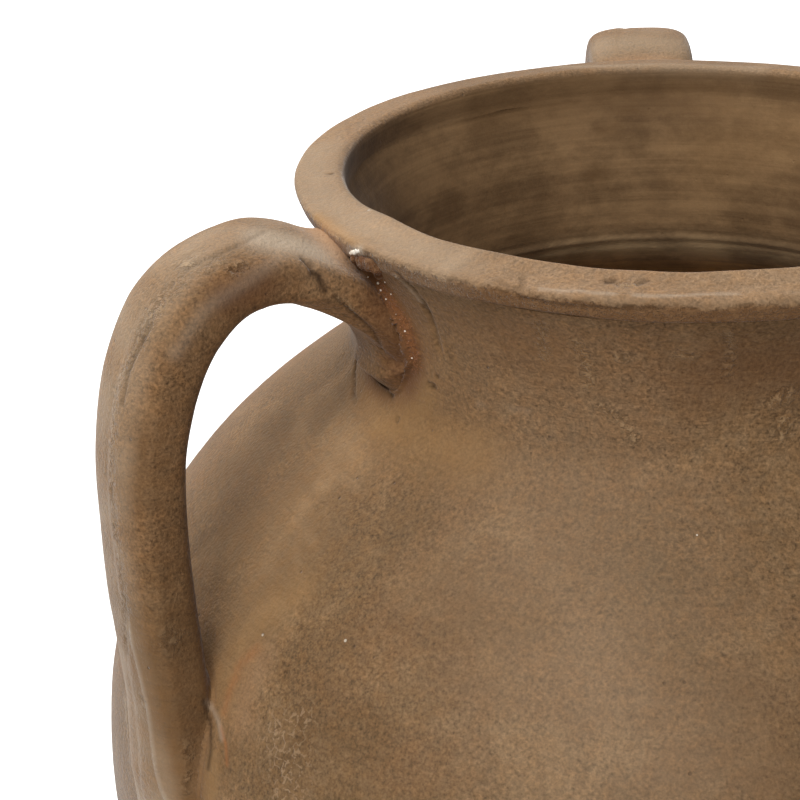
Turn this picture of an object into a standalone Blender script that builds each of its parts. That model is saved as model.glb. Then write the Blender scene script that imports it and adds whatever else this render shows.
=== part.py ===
"""A three-handled terracotta vase, thrown in five sections and fitted with three pulled strap handles.

Metres, +Z up. The origin is the middle of the flat underside. Each section is turned from its own
profile and seats in a V groove in the one below; the handles are cut to the wall and bedded in clay coils.
"""
import math

import bpy
from mathutils import Matrix, Vector

# Wall of the vase, as radii and heights of its outer face
HEIGHT = 0.320
FOOT_RADIUS = 0.078
FOOT_SPREAD = 0.90
FOOT_ROUND = 0.004
FLOOR_THICKNESS = 0.014
BELLY_RADIUS = 0.1512
BELLY_HEIGHT = 0.163
SHOULDER_RADIUS = 0.1035
SHOULDER_DROP = 0.065
SHOULDER_SLOPE = -1.30
NECK_RADIUS = 0.082
NECK_DROP = 0.042
NECK_FLARE = 0.60
WALL = 0.0075

# Lip coil on top of the collar
LIP_RADIUS = 0.095
LIP_WIDTH = 0.0134
LIP_DEPTH = 0.0075
LIP_OVERHANG = 0.0045
LIP_EDGE = 0.0045
LIP_FALL = 0.0015
LIP_ROUND = 0.0018

# Strap handles
HANDLE_WIDTH = 0.030
HANDLE_THICKNESS = 0.0174
HANDLE_GROOVE = 0.0012
FINGER_GAP = 0.0235
CREST_REACH = 0.020
CREST_DROP = 0.0058
GRIP_DROP = 0.073
ROOT_DROP = 0.0365
ROOT_ANGLE = math.radians(45)
TAIL_DROP = 0.162
HANDLE_AZIMUTHS = {"left": 207.6, "back": 90.0, "right": 328.8}

# How far round the wall a hand-set tail lands from its root; the others land straight below
TAIL_SWINGS = {"left": math.radians(4.7)}

# How far each Bezier arc of the strap holds its end directions, as shares of its span
ROOT_HOLD = 0.48
CREST_HOLD = 0.32
ARCH_HOLD = 0.62
TAIL_HOLD = 0.35

# Clay coils that bed the handles
UPPER_COIL = 0.0055
LOWER_COIL = 0.0050
COIL_EDGE = 0.0007
UPPER_COIL_RUN = 0.017
LOWER_COIL_RISE = 0.011
LOWER_COIL_FACE = 0.0048

# Joints between leather-hard pieces
SLIP_GAP = 0.0003
JOINT_DEPTH = 0.003

# Facets
TURNS = 48
STRAP_SIDES = 18
STRAP_SQUARENESS = 2.8
COIL_SQUARENESS = 2.0

LIP_SEAT = HEIGHT - LIP_DEPTH
NECK_HEIGHT = HEIGHT - NECK_DROP
WALL_KNOTS = (
    (0.0, FOOT_RADIUS, FOOT_SPREAD),
    (BELLY_HEIGHT, BELLY_RADIUS, 0.0),
    (HEIGHT - SHOULDER_DROP, SHOULDER_RADIUS, SHOULDER_SLOPE),
    (NECK_HEIGHT, NECK_RADIUS, 0.0),
    (LIP_SEAT, LIP_RADIUS - LIP_OVERHANG, NECK_FLARE),
)


def outer_radius(height):
    """Radius of the wall's outer face: a cubic between each two knots, smooth through all of them."""
    spans = list(zip(WALL_KNOTS, WALL_KNOTS[1:]))
    (low, low_radius, low_slope), (high, high_radius, high_slope) = next(
        (span for span in spans if height <= span[1][0]), spans[-1]
    )
    length = high - low
    t = (height - low) / length
    rise = t * t * (3 - 2 * t)
    return (
        low_radius * (1 - rise)
        + high_radius * rise
        + length * low_slope * t * (1 - t) ** 2
        - length * high_slope * t * t * (1 - t)
    )


def inner_radius(height):
    """Radius of the inner face, one wall thickness in, square to the outer face."""
    step = 0.0005
    slope = (outer_radius(height) - outer_radius(height - step)) / step
    return outer_radius(height) - WALL * math.hypot(1, slope)


def heights(low, high, steps):
    """Evenly spaced heights strictly between two joints, from the top down."""
    return [high + (low - high) * i / steps for i in range(1, steps)]


def joint(height, lift=0.0):
    """A joint's outer, middle and inner points: a V whose point is down in the lower piece."""
    outer = outer_radius(height)
    inner = inner_radius(height)
    return [
        (outer, height + lift),
        ((outer + inner) / 2, height + lift - JOINT_DEPTH),
        (inner, height + lift),
    ]


def arc(corner, before, after, radius, steps=3):
    """Points that round a corner off between its two neighbours."""
    corner, before, after = Vector(corner), Vector(before), Vector(after)
    start = (before - corner).normalized()
    end = (after - corner).normalized()
    half = start.angle(end) / 2
    centre = corner + (start + end).normalized() * (radius / math.sin(half))
    first = corner + start * (radius / math.tan(half)) - centre
    last = corner + end * (radius / math.tan(half)) - centre
    first_angle = math.atan2(first.y, first.x)
    sweep = math.remainder(math.atan2(last.y, last.x) - first_angle, math.tau)
    angles = [first_angle + sweep * i / steps for i in range(steps + 1)]
    return [(centre.x + radius * math.cos(a), centre.y + radius * math.sin(a)) for a in angles]


def clay(name, colour, roughness):
    """A matt fired clay."""
    material = bpy.data.materials.new(name)
    material.use_nodes = True
    shader = material.node_tree.nodes["Principled BSDF"]
    shader.inputs["Base Color"].default_value = (*colour, 1.0)
    shader.inputs["Roughness"].default_value = roughness
    shader.inputs["Metallic"].default_value = 0.0
    return material


def new_object(name, points, edges, faces, parent=None):
    mesh = bpy.data.meshes.new(name)
    mesh.from_pydata(points, edges, faces)
    thing = bpy.data.objects.new(name, mesh)
    bpy.context.scene.collection.objects.link(thing)
    thing.parent = parent
    return thing


def turned(name, profile, closed):
    """A profile of (radius, height) points, turned once round the Z axis."""
    count = len(profile)
    edges = [(i, (i + 1) % count) for i in range(count if closed else count - 1)]
    thing = new_object(name, [(r, 0, z) for r, z in profile], edges, [])
    screw = thing.modifiers.new("wheel", "SCREW")
    screw.steps = TURNS
    screw.render_steps = TURNS
    screw.use_merge_vertices = True
    screw.merge_threshold = 0.00001
    screw.use_smooth_shade = True
    return thing


def as_cutter(thing):
    thing.hide_render = True
    thing.display_type = "WIRE"
    return thing


def cut(thing, cutter):
    boolean = thing.modifiers.new("cut to " + cutter.name, "BOOLEAN")
    boolean.operation = "DIFFERENCE"
    boolean.solver = "EXACT"
    boolean.object = cutter


def wall_outer(low, high, steps):
    return [(outer_radius(z), z) for z in heights(low, high, steps)]


def wall_inner(low, high, steps):
    return [(inner_radius(z), z) for z in reversed(heights(low, high, steps))]


# The outer face of each section, from the top down; the wall cutter follows the same points
LOWER_OUTER = wall_outer(FLOOR_THICKNESS, BELLY_HEIGHT, 8)
SHOULDER_OUTER = wall_outer(BELLY_HEIGHT, NECK_HEIGHT, 10)
COLLAR_OUTER = wall_outer(NECK_HEIGHT, LIP_SEAT, 4)


def foot_edge():
    """The foot's rounded edge, from the wall's face to the flat underside."""
    above = (outer_radius(FLOOR_THICKNESS), FLOOR_THICKNESS)
    return arc((FOOT_RADIUS, 0), above, (0, 0), FOOT_ROUND)


def lip_face():
    """The lip's inner edge, falling top, rounded outer edge and short underside, down to its seat."""
    inner = (LIP_RADIUS - LIP_WIDTH, HEIGHT)
    outer_top = (LIP_RADIUS, HEIGHT - LIP_FALL)
    outer_low = (LIP_RADIUS, HEIGHT - LIP_FALL - LIP_EDGE)
    seat = joint(LIP_SEAT, SLIP_GAP)
    return [
        *arc(inner, seat[2], outer_top, LIP_ROUND),
        *arc(outer_top, inner, outer_low, LIP_ROUND),
        *arc(outer_low, outer_top, seat[0], LIP_ROUND / 2),
    ]


def make_base_slab():
    """The thrown floor: a disc with a V groove round its top for the wall."""
    seat = joint(FLOOR_THICKNESS)
    profile = [(0, FLOOR_THICKNESS), *reversed(seat), *foot_edge(), (0, 0)]
    return turned("base_slab", profile, closed=False)


def make_wall(name, low, high, outer, steps):
    """A thrown section of the wall: a V ridge below and a V groove above."""
    bottom = joint(low, SLIP_GAP)
    top = joint(high)
    inner = wall_inner(low, high, steps)
    return turned(name, [top[0], *outer, *bottom, *inner, top[2], top[1]], closed=True)


def make_rim_lip():
    """The lip coil, its ridge bedded in the collar's groove."""
    return turned("rim_lip", [*lip_face(), *joint(LIP_SEAT, SLIP_GAP)], closed=True)


def make_wall_cutter():
    """The whole vase as one solid, a slip gap larger than its outer face."""
    face = [
        *lip_face()[3:],
        (outer_radius(LIP_SEAT), LIP_SEAT),
        *COLLAR_OUTER,
        (outer_radius(NECK_HEIGHT), NECK_HEIGHT),
        *SHOULDER_OUTER,
        (outer_radius(BELLY_HEIGHT), BELLY_HEIGHT),
        *LOWER_OUTER,
        (outer_radius(FLOOR_THICKNESS), FLOOR_THICKNESS),
        *foot_edge(),
    ]
    grown = [(0, HEIGHT + SLIP_GAP)]
    for i, (radius, height) in enumerate(face):
        before = Vector(face[max(i - 1, 0)])
        after = Vector(face[min(i + 1, len(face) - 1)])
        run = (after - before).normalized()
        grown.append((radius - run.y * SLIP_GAP, height + run.x * SLIP_GAP))
    grown.append((0, -SLIP_GAP))
    return as_cutter(turned("wall_cutter", grown, closed=False))


def handle_path():
    """The strap's centre line in its own plane, as (distance from the axis, height) corner points of
    three Bezier arcs: out of the neck, over the crest and down to the grip, and along to the tail."""
    half = HANDLE_THICKNESS / 2
    root_height = HEIGHT - ROOT_DROP
    grip_height = HEIGHT - GRIP_DROP
    tail_height = HEIGHT - TAIL_DROP
    root = Vector((outer_radius(root_height) - half, root_height))
    crest = Vector((LIP_RADIUS + CREST_REACH, HEIGHT - CREST_DROP))
    grip = Vector((outer_radius(grip_height) + FINGER_GAP + half, grip_height))
    tail = Vector((outer_radius(tail_height) - half, tail_height))
    out = Vector((1, 0))
    down = Vector((0, -1))
    spring = Vector((math.cos(ROOT_ANGLE), math.sin(ROOT_ANGLE)))
    rise = (crest - root).length
    reach = grip.x - crest.x
    fall = crest.y - grip.y
    drop = grip.y - tail.y
    return (
        (root, root + spring * rise * ROOT_HOLD, crest - out * rise * CREST_HOLD, crest),
        (crest, crest + out * reach * ARCH_HOLD, grip - down * fall * ARCH_HOLD, grip),
        (grip, grip + down * drop * TAIL_HOLD, tail - down * drop * TAIL_HOLD, tail),
    )


def bezier(corners, t):
    """A point on a Bezier arc and the direction of travel there."""
    a, b, c, d = corners
    point = a * (1 - t) ** 3 + b * 3 * t * (1 - t) ** 2 + c * 3 * t * t * (1 - t) + d * t**3
    slope = (b - a) * (1 - t) ** 2 + (c - b) * 2 * t * (1 - t) + (d - c) * t * t
    return point, slope.normalized()


def crossing(corners, offset):
    """Where a Bezier arc, moved this far towards its left, passes through the wall: a share of the arc."""

    def stands_clear(t):
        point, direction = bezier(corners, t)
        spot = point + Vector((-direction.y, direction.x)) * offset
        return spot.x > outer_radius(spot.y)

    low, high = 0.0, 1.0
    for _ in range(30):
        middle = (low + high) / 2
        if stands_clear(middle) == stands_clear(low):
            low = middle
        else:
            high = middle
    return low


def arc_length(corners, steps=24):
    points = [bezier(corners, i / steps)[0] for i in range(steps + 1)]
    return sum((b - a).length for a, b in zip(points, points[1:]))


def swung(point, swing):
    """How far the falling strap has turned round the axis: not at all at the crest, fully at the tail."""
    share = (HEIGHT - CREST_DROP - point.y) / (TAIL_DROP - CREST_DROP)
    return swing * share * share


def strap_ring(point, direction, width, inner, outer, groove, turn=0.0, squareness=STRAP_SQUARENESS):
    """One ring of a strap: a rounded oblong across the path, with a shallow groove along its outer face."""
    across = Vector((-direction.y, direction.x))
    power = 2 / squareness
    ring = []
    for i in range(STRAP_SIDES):
        angle = math.tau * (i + 0.5) / STRAP_SIDES
        side = math.copysign(abs(math.cos(angle)) ** power, math.cos(angle))
        lift = math.copysign(abs(math.sin(angle)) ** power, math.sin(angle))
        depth = lift * (outer if lift > 0 else inner)
        if lift > 0:
            depth -= groove * (1 - side * side)
        spot = point + across * depth
        ring.append(Matrix.Rotation(turn, 3, "Z") @ Vector((spot.x, side * width, spot.y)))
    return ring


def loft(name, rings, parent):
    """A closed skin over rings of equal count, with a face over each end."""
    count = len(rings[0])
    points = [point for ring in rings for point in ring]
    faces = [tuple(reversed(range(count))), tuple(range(len(points) - count, len(points)))]
    for row in range(len(rings) - 1):
        for i in range(count):
            near = row * count + i
            next_near = row * count + (i + 1) % count
            faces.append((near, next_near, next_near + count, near + count))
    thing = new_object(name, points, [], faces, parent)
    thing.data.shade_smooth()
    thing.data.set_sharp_from_angle(angle=math.radians(40))
    return thing


def strap(name, parent, swing, growth):
    """The whole handle, from inside the neck to inside the belly, grown all round by a clearance."""
    width = HANDLE_WIDTH / 2 + growth
    half = HANDLE_THICKNESS / 2 + growth
    rise, arch, fall = handle_path()
    rings = []
    for corners, steps in ((rise, 6), (arch, 8), (fall, 7)):
        first = 1 if rings else 0
        for i in range(first, steps + 1):
            point, direction = bezier(corners, i / steps)
            turn = 0.0 if corners is rise else swung(point, swing)
            rings.append(strap_ring(point, direction, width, half, half, HANDLE_GROOVE, turn))
    return loft(name, rings, parent)


def upper_coil(name, parent):
    """The clay that beds the root on the neck: thick at the wall, thinning out along the strap."""
    corners = handle_path()[0]
    end = crossing(corners, 0.0) + UPPER_COIL_RUN / arc_length(corners)
    half = HANDLE_THICKNESS / 2
    steps = 9
    rings = []
    for i in range(steps + 1):
        point, direction = bezier(corners, end * i / steps)
        swell = COIL_EDGE + UPPER_COIL * (1 - i / steps) ** 1.5
        below = half + (COIL_EDGE + swell) / 2
        width = HANDLE_WIDTH / 2 + swell
        rings.append(strap_ring(point, direction, width, below, half + swell, HANDLE_GROOVE))
    return loft(name, rings, parent)


def lower_coil(name, parent, swing):
    """The clay along both sides of the tail and in the crotch above it; the strap's outer face stays bare."""
    corners = handle_path()[2]
    half = HANDLE_THICKNESS / 2
    crotch = crossing(corners, -half)
    start = crotch - LOWER_COIL_RISE / arc_length(corners)
    steps = 12
    rings = []
    for i in range(steps + 1):
        point, direction = bezier(corners, start + (1 - start) * i / steps)
        swell = COIL_EDGE + LOWER_COIL * math.sin(math.pi * (i + 0.5) / (steps + 1))
        width = HANDLE_WIDTH / 2 + swell
        turn = swung(point, swing)
        rings.append(
            strap_ring(point, direction, width, half + swell, LOWER_COIL_FACE, 0.0, turn, COIL_SQUARENESS)
        )
    return loft(name, rings, parent)


def make_handle(side, azimuth, wall_cutter):
    """A strap handle and the two coils that bed it, all cut to the wall and to each other."""
    place = bpy.data.objects.new("place_" + side, None)
    place.rotation_euler.z = math.radians(azimuth)
    bpy.context.scene.collection.objects.link(place)
    swing = TAIL_SWINGS.get(side, 0.0)
    handle = strap("handle_" + side, place, swing, 0.0)
    cut(handle, wall_cutter)
    strap_cutter = as_cutter(strap("strap_cutter_" + side, place, swing, SLIP_GAP))
    upper = upper_coil("upper_luting_" + side, place)
    lower = lower_coil("lower_luting_" + side, place, swing)
    for coil in (upper, lower):
        cut(coil, strap_cutter)
        cut(coil, wall_cutter)
    return handle, upper, lower


def paint(thing, colour, roughness):
    thing.data.materials.append(clay(thing.name + "_clay", colour, roughness))


def build():
    for thing in list(bpy.data.objects):
        bpy.data.objects.remove(thing)
    base = make_base_slab()
    lower = make_wall("lower_wall", FLOOR_THICKNESS, BELLY_HEIGHT, LOWER_OUTER, 8)
    shoulder = make_wall("shoulder_wall", BELLY_HEIGHT, NECK_HEIGHT, SHOULDER_OUTER, 10)
    collar = make_wall("neck_collar", NECK_HEIGHT, LIP_SEAT, COLLAR_OUTER, 4)
    lip = make_rim_lip()
    paint(base, (0.22, 0.14, 0.085), 0.92)
    paint(lower, (0.25, 0.165, 0.10), 0.9)
    paint(shoulder, (0.26, 0.175, 0.105), 0.88)
    paint(collar, (0.24, 0.15, 0.09), 0.9)
    paint(lip, (0.36, 0.26, 0.18), 0.85)
    wall_cutter = make_wall_cutter()
    for side, azimuth in HANDLE_AZIMUTHS.items():
        handle, upper, lower_bed = make_handle(side, azimuth, wall_cutter)
        paint(handle, (0.29, 0.195, 0.12), 0.92)
        paint(upper, (0.30, 0.17, 0.095), 0.92)
        paint(lower_bed, (0.30, 0.18, 0.10), 0.92)


build()
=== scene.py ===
import math
import bmesh
import bpy
import numpy as np
from mathutils import Euler, Matrix, Vector, noise
from mathutils.bvhtree import BVHTree


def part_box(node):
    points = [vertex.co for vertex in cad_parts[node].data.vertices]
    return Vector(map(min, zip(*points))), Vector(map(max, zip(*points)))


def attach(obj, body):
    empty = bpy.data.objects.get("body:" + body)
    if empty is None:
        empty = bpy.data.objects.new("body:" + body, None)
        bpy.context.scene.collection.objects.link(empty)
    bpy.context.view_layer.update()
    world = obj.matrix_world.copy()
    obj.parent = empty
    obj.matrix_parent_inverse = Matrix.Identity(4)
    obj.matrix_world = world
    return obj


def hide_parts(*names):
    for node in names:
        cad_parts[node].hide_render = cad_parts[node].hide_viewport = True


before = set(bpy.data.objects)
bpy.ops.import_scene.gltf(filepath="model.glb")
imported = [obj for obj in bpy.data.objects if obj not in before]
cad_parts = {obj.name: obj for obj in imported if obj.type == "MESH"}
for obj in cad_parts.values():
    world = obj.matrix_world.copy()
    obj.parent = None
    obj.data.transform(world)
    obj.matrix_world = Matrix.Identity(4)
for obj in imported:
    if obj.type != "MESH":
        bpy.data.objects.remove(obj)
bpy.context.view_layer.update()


# The base is a disc of terracotta beaten out on the wheel head, from whose edge the wall is thrown.
# It is cut free with a wire, so its underside is slightly hollow, with a soft worn edge.
FLOOR_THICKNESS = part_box("base_slab")[1].z
FOOT_RADIUS = 0.078
FOOT_SPREAD = 0.90
FOOT_ROUND = 0.004
WIRE_HOLLOW = 0.0008


def feed(tree, socket, value):
    """Link a socket to another node's output, its first if a node is given, or set it to a plain value."""
    if isinstance(value, bpy.types.Node):
        value = value.outputs[0]
    if isinstance(value, bpy.types.NodeSocket):
        tree.links.new(value, socket)
    else:
        socket.default_value = value


def add(tree, kind, inputs=None, **settings):
    """One node with its settings and its inputs."""
    node = tree.nodes.new(kind)
    for name, value in settings.items():
        setattr(node, name, value)
    for socket, value in (inputs or {}).items():
        feed(tree, node.inputs[socket], value)
    return node


def calc(tree, operation, *values):
    """The result of one Math node."""
    return add(tree, "ShaderNodeMath", dict(enumerate(values)), operation=operation).outputs[0]


def times(tree, low, high):
    """Two values multiplied."""
    return calc(tree, "MULTIPLY", low, high)


def plus(tree, low, high):
    """Two values added."""
    return calc(tree, "ADD", low, high)


def span(tree, value, low, high, to_low=0.0, to_high=1.0):
    """A value eased from one range to another."""
    inputs = {"Value": value, 1: low, 2: high, 3: to_low, 4: to_high}
    return add(tree, "ShaderNodeMapRange", inputs, interpolation_type="SMOOTHSTEP").outputs[0]


def blend(tree, share, low, high, kind="MIX"):
    """Two colours mixed by a share."""
    inputs = {"Factor": share, 6: low, 7: high}
    return add(tree, "ShaderNodeMix", inputs, data_type="RGBA", blend_type=kind).outputs[2]


def object_place(tree):
    """Where a point lies on its piece."""
    return add(tree, "ShaderNodeTexCoord").outputs["Object"]


def new_tree(name, kind, inputs, outputs):
    """An empty node group with its named sockets."""
    tree = bpy.data.node_groups.new(name, kind)
    for label, socket in outputs:
        tree.interface.new_socket(label, in_out="OUTPUT", socket_type="NodeSocket" + socket)
    for label, socket in inputs:
        tree.interface.new_socket(label, in_out="INPUT", socket_type="NodeSocket" + socket)
    return tree, tree.nodes.new("NodeGroupInput").outputs, tree.nodes.new("NodeGroupOutput").inputs


def clay_skin(tree, given, result, geometry):
    """The end of a tree: smooth shading, real geometry and its material."""
    smooth = add(tree, "GeometryNodeSetShadeSmooth", {"Geometry": geometry})
    real = add(tree, "GeometryNodeRealizeInstances", {0: smooth})
    inputs = {"Geometry": real, "Material": given["Material"]}
    feed(tree, result[0], add(tree, "GeometryNodeSetMaterial", inputs))


def wheel_tree():
    """Clay turned on a wheel: a section swept round Z, uneven from the hand and ringed by the fingers."""
    tree, given, result = new_tree(
        "turned_on_the_wheel", "GeometryNodeTree",
        [("Geometry", "Geometry"), ("Turns", "Int"), ("Unevenness", "Float"), ("Unevenness Scale", "Float"),
         ("Ring Depth", "Float"), ("Ring Scale", "Float"), ("Seed", "Float"), ("Material", "Material")],
        [("Geometry", "Geometry")])
    place = add(tree, "GeometryNodeInputPosition").outputs[0]
    parts = add(tree, "ShaderNodeSeparateXYZ", {0: place}).outputs
    flat = add(tree, "ShaderNodeCombineXYZ", {0: calc(tree, "SUBTRACT", parts[0], 1.0),
                                              1: times(tree, parts[2], -1.0)})
    section = add(tree, "GeometryNodeMeshToCurve", {"Mesh": given["Geometry"]})
    laid = add(tree, "GeometryNodeSetPosition", {"Geometry": section, "Position": flat})
    wheel = add(tree, "GeometryNodeCurvePrimitiveCircle", {"Resolution": given["Turns"], "Radius": 1.0})
    swept = add(tree, "GeometryNodeCurveToMesh", {"Curve": wheel, "Profile Curve": laid})
    closed = add(tree, "GeometryNodeMergeByDistance", {"Geometry": swept, "Distance": 1e-6})
    uneven = add(tree, "ShaderNodeTexNoise", {"Vector": place, "W": given["Seed"], "Detail": 3.0,
                                              "Scale": given["Unevenness Scale"]}, noise_dimensions="4D")
    around = add(tree, "ShaderNodeCombineXYZ", {
        0: times(tree, parts[0], 4.0), 1: times(tree, parts[1], 4.0),
        2: times(tree, parts[2], given["Ring Scale"])})
    rings = add(tree, "ShaderNodeTexNoise", {"Vector": around, "W": given["Seed"], "Scale": 1.0,
                                             "Detail": 4.0, "Roughness": 0.6}, noise_dimensions="4D")
    wiped = add(tree, "GeometryNodeInputNamedAttribute", {"Name": "ring"}, data_type="FLOAT").outputs[0]
    swell = times(tree, calc(tree, "SUBTRACT", uneven, 0.5), given["Unevenness"])
    groove = times(tree, calc(tree, "SUBTRACT", rings, 0.5), given["Ring Depth"])
    height = plus(tree, swell, times(tree, groove, wiped))
    normal = add(tree, "GeometryNodeInputNormal").outputs[0]
    offset = add(tree, "ShaderNodeVectorMath", {0: normal, "Scale": height}, operation="SCALE")
    moved = add(tree, "GeometryNodeSetPosition", {"Geometry": closed, "Offset": offset})
    clay_skin(tree, given, result, moved)
    return tree


def put(name, data):
    """An object with its data, linked into the scene."""
    thing = bpy.data.objects.new(name, data)
    bpy.context.scene.collection.objects.link(thing)
    return thing


def faced(mesh):
    """Turn a mesh's faces outwards."""
    shape = bmesh.new()
    shape.from_mesh(mesh)
    bmesh.ops.recalc_face_normals(shape, faces=shape.faces)
    shape.to_mesh(mesh)
    shape.free()


def grown(name, source, tree, values):
    """Run a tree on a source object and keep what it makes as a plain mesh, faces outwards."""
    modifier = source.modifiers.new(name, "NODES")
    modifier.node_group = tree
    for item in tree.interface.items_tree:
        if item.in_out == "INPUT" and item.name in values:
            modifier[item.identifier] = values[item.name]
    depsgraph = bpy.context.evaluated_depsgraph_get()
    mesh = bpy.data.meshes.new_from_object(source.evaluated_get(depsgraph), depsgraph=depsgraph)
    source.modifiers.remove(modifier)
    bpy.data.objects.remove(source)
    mesh.name = name
    faced(mesh)
    return put(name, mesh)


def points_of(piece):
    """The piece's points as rows of a table."""
    table = np.empty(len(piece.data.vertices) * 3)
    piece.data.vertices.foreach_get("co", table)
    return table.reshape(-1, 3)


def move(piece, place):
    """Put the piece's points where the table says."""
    piece.data.vertices.foreach_set("co", place.ravel())
    piece.data.update()


def mark(piece, name, values):
    """Keep one number a point, for the material to read."""
    layer = piece.data.attributes.get(name) or piece.data.attributes.new(name, "FLOAT", "POINT")
    layer.data.foreach_set("value", np.asarray(values, dtype=np.float32))


def rounded(corners, step, closed=True):
    """An outline whose corners (r, z, radius) are rounded off, sampled at about the given step."""
    outline = []
    count = len(corners)
    for index, (r, z, radius) in enumerate(corners):
        here = np.array((r, z))
        if not closed and index in (0, count - 1) or radius <= 0.0:
            outline.append(here)
            continue
        before = np.array(corners[index - 1][:2]) - here
        after = np.array(corners[(index + 1) % count][:2]) - here
        before /= np.linalg.norm(before)
        after /= np.linalg.norm(after)
        half = math.acos(max(-1.0, min(1.0, float(before @ after)))) / 2.0
        start = here + before * radius / math.tan(half)
        middle = here + (before + after) / np.linalg.norm(before + after) * radius / math.sin(half)
        first = start - middle
        sweep = math.pi - 2.0 * half
        turn = 1.0 if before[0] * after[1] - before[1] * after[0] < 0.0 else -1.0
        pieces = max(3, math.ceil(radius * sweep / step))
        for number in range(pieces + 1):
            angle = turn * sweep * number / pieces
            spun = (first[0] * math.cos(angle) - first[1] * math.sin(angle),
                    first[0] * math.sin(angle) + first[1] * math.cos(angle))
            outline.append(middle + np.array(spun))
    dense = []
    for index in range(count_of_edges(outline, closed)):
        low, high = outline[index], outline[(index + 1) % len(outline)]
        cuts = max(1, round(float(np.linalg.norm(high - low)) / step))
        dense.extend(low + (high - low) * cut / cuts for cut in range(cuts))
    if not closed:
        dense.append(outline[-1])
    return dense


def count_of_edges(outline, closed):
    """How many straight runs an outline has."""
    return len(outline) if closed else len(outline) - 1


WHEEL = wheel_tree()


def thrown(name, section, closed, ring, values, material):
    """A piece turned from its section of (r, z) points."""
    mesh = bpy.data.meshes.new(name + "_section")
    edges = [(index, (index + 1) % len(section)) for index in range(count_of_edges(section, closed))]
    mesh.from_pydata([(r, 0.0, z) for r, z in section], edges, [])
    wiped = mesh.attributes.new("ring", "FLOAT", "POINT")
    wiped.data.foreach_set("value", np.asarray(ring, dtype=np.float32))
    return grown(name, put(name + "_section", mesh), WHEEL, dict(values, Material=material))


WARM_WASH = (1.05, 0.99, 0.91, 1.0)
# pits and the gaps between crumbs are painted near black: painted shade
PIT_TONE = (0.05, 0.03, 0.02, 1.0)
LIME_TONE = (0.72, 0.64, 0.52, 1.0)
CLOD_TONE = (0.43, 0.29, 0.16, 1.0)
CHINK_TONE = (0.055, 0.032, 0.016, 1.0)
CRACKLE_TONE = (0.42, 0.28, 0.16, 1.0)
CRACKLE_BEND = (0.003, 0.003, 0.003)


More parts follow.
